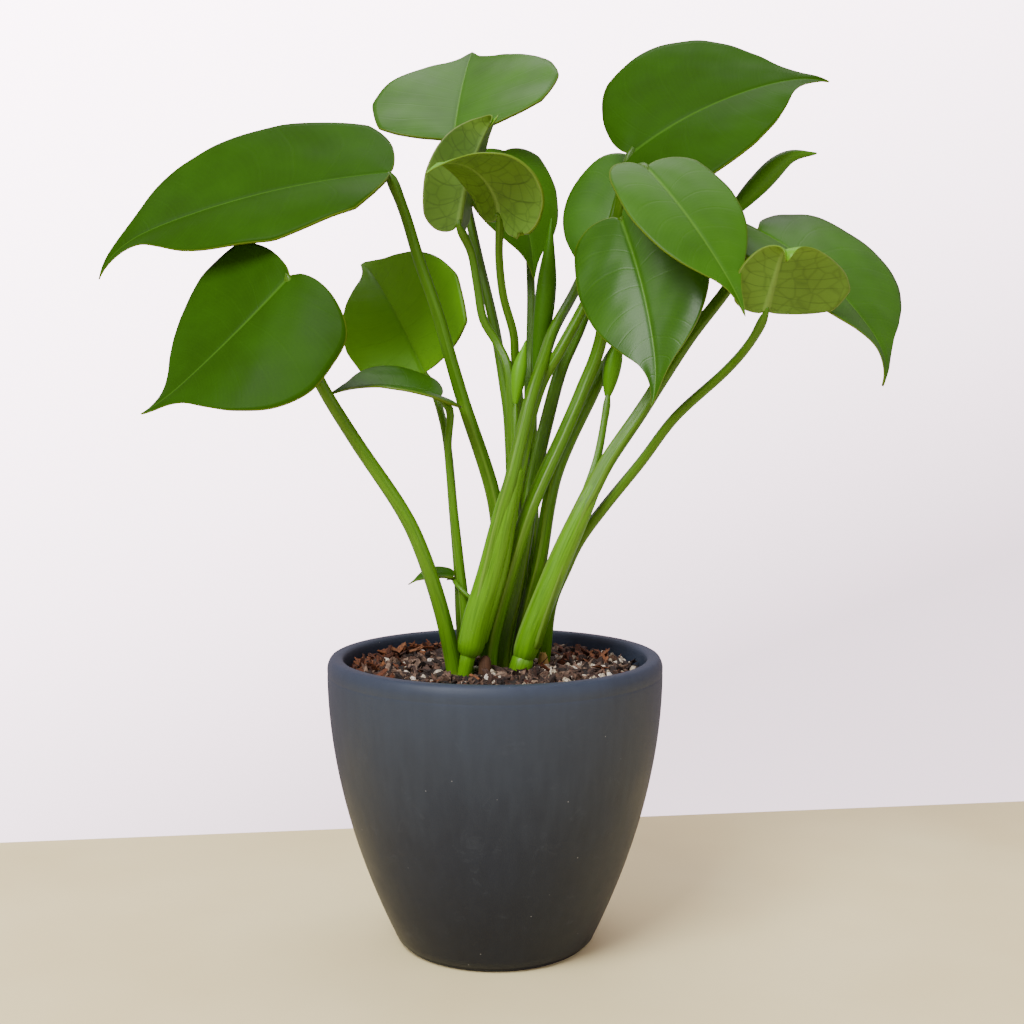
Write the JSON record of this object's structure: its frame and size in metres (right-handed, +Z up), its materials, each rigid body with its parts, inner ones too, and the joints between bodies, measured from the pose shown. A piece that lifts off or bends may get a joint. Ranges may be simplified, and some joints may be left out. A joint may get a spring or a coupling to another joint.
{
  "type": "potted monstera plant",
  "caption": "Young monstera houseplant with heart-shaped leaves on long arching stalks, growing in a tapered round plastic pot.",
  "frame": {"origin": "centre of the pot's flat underside", "axes": "+Z up along the pot's axis, -Y towards the plant's best side, +X to the right of someone who looks at that side"},
  "size_m": [0.3896, 0.2029, 0.463],
  "materials": {
    "moulded_plastic": "fine matt, as moulded",
    "potting_mix": "loose bark, perlite and coir",
    "leaf_green": "satin, slightly waxy",
    "stalk_green": "satin, finely striped lengthwise",
    "dry_husk": "dry and dull"
  },
  "bodies": {
    "root": {"dead_stump": "dry_husk", "dry_sheath": "dry_husk", "leaf_arching": "leaf_green", "leaf_behind": "leaf_green", "leaf_bud": "leaf_green", "leaf_centre_left": "leaf_green", "leaf_edge_left": "leaf_green", "leaf_folded": "leaf_green", "leaf_furled_right": "leaf_green", "leaf_heart_back": "leaf_green", "leaf_heart_front": "leaf_green", "leaf_left": "leaf_green", "leaf_mid_back": "leaf_green", "leaf_right": "leaf_green", "leaf_small": "leaf_green", "leaf_spear": "leaf_green", "leaf_tiny": "leaf_green", "leaf_top": "leaf_green", "leaf_underside": "leaf_green", "leaf_upper_left": "leaf_green", "leaf_upper_right": "leaf_green", "pot": "moulded_plastic", "sheath_front": "stalk_green", "sheath_right": "stalk_green", "soil": "potting_mix", "stalk_arching": "stalk_green", "stalk_behind": "stalk_green", "stalk_bud": "stalk_green", "stalk_centre_left": "stalk_green", "stalk_edge_left": "stalk_green", "stalk_folded": "stalk_green", "stalk_furled_right": "stalk_green", "stalk_heart_back": "stalk_green", "stalk_heart_front": "stalk_green", "stalk_left": "stalk_green", "stalk_mid_back": "stalk_green", "stalk_right": "stalk_green", "stalk_small": "stalk_green", "stalk_spear": "stalk_green", "stalk_tiny": "stalk_green", "stalk_top": "stalk_green", "stalk_underside": "stalk_green", "stalk_upper_left": "stalk_green", "stalk_upper_right": "stalk_green", "stem_front": "stalk_green", "stem_right": "stalk_green"}
  },
  "joints": []
}
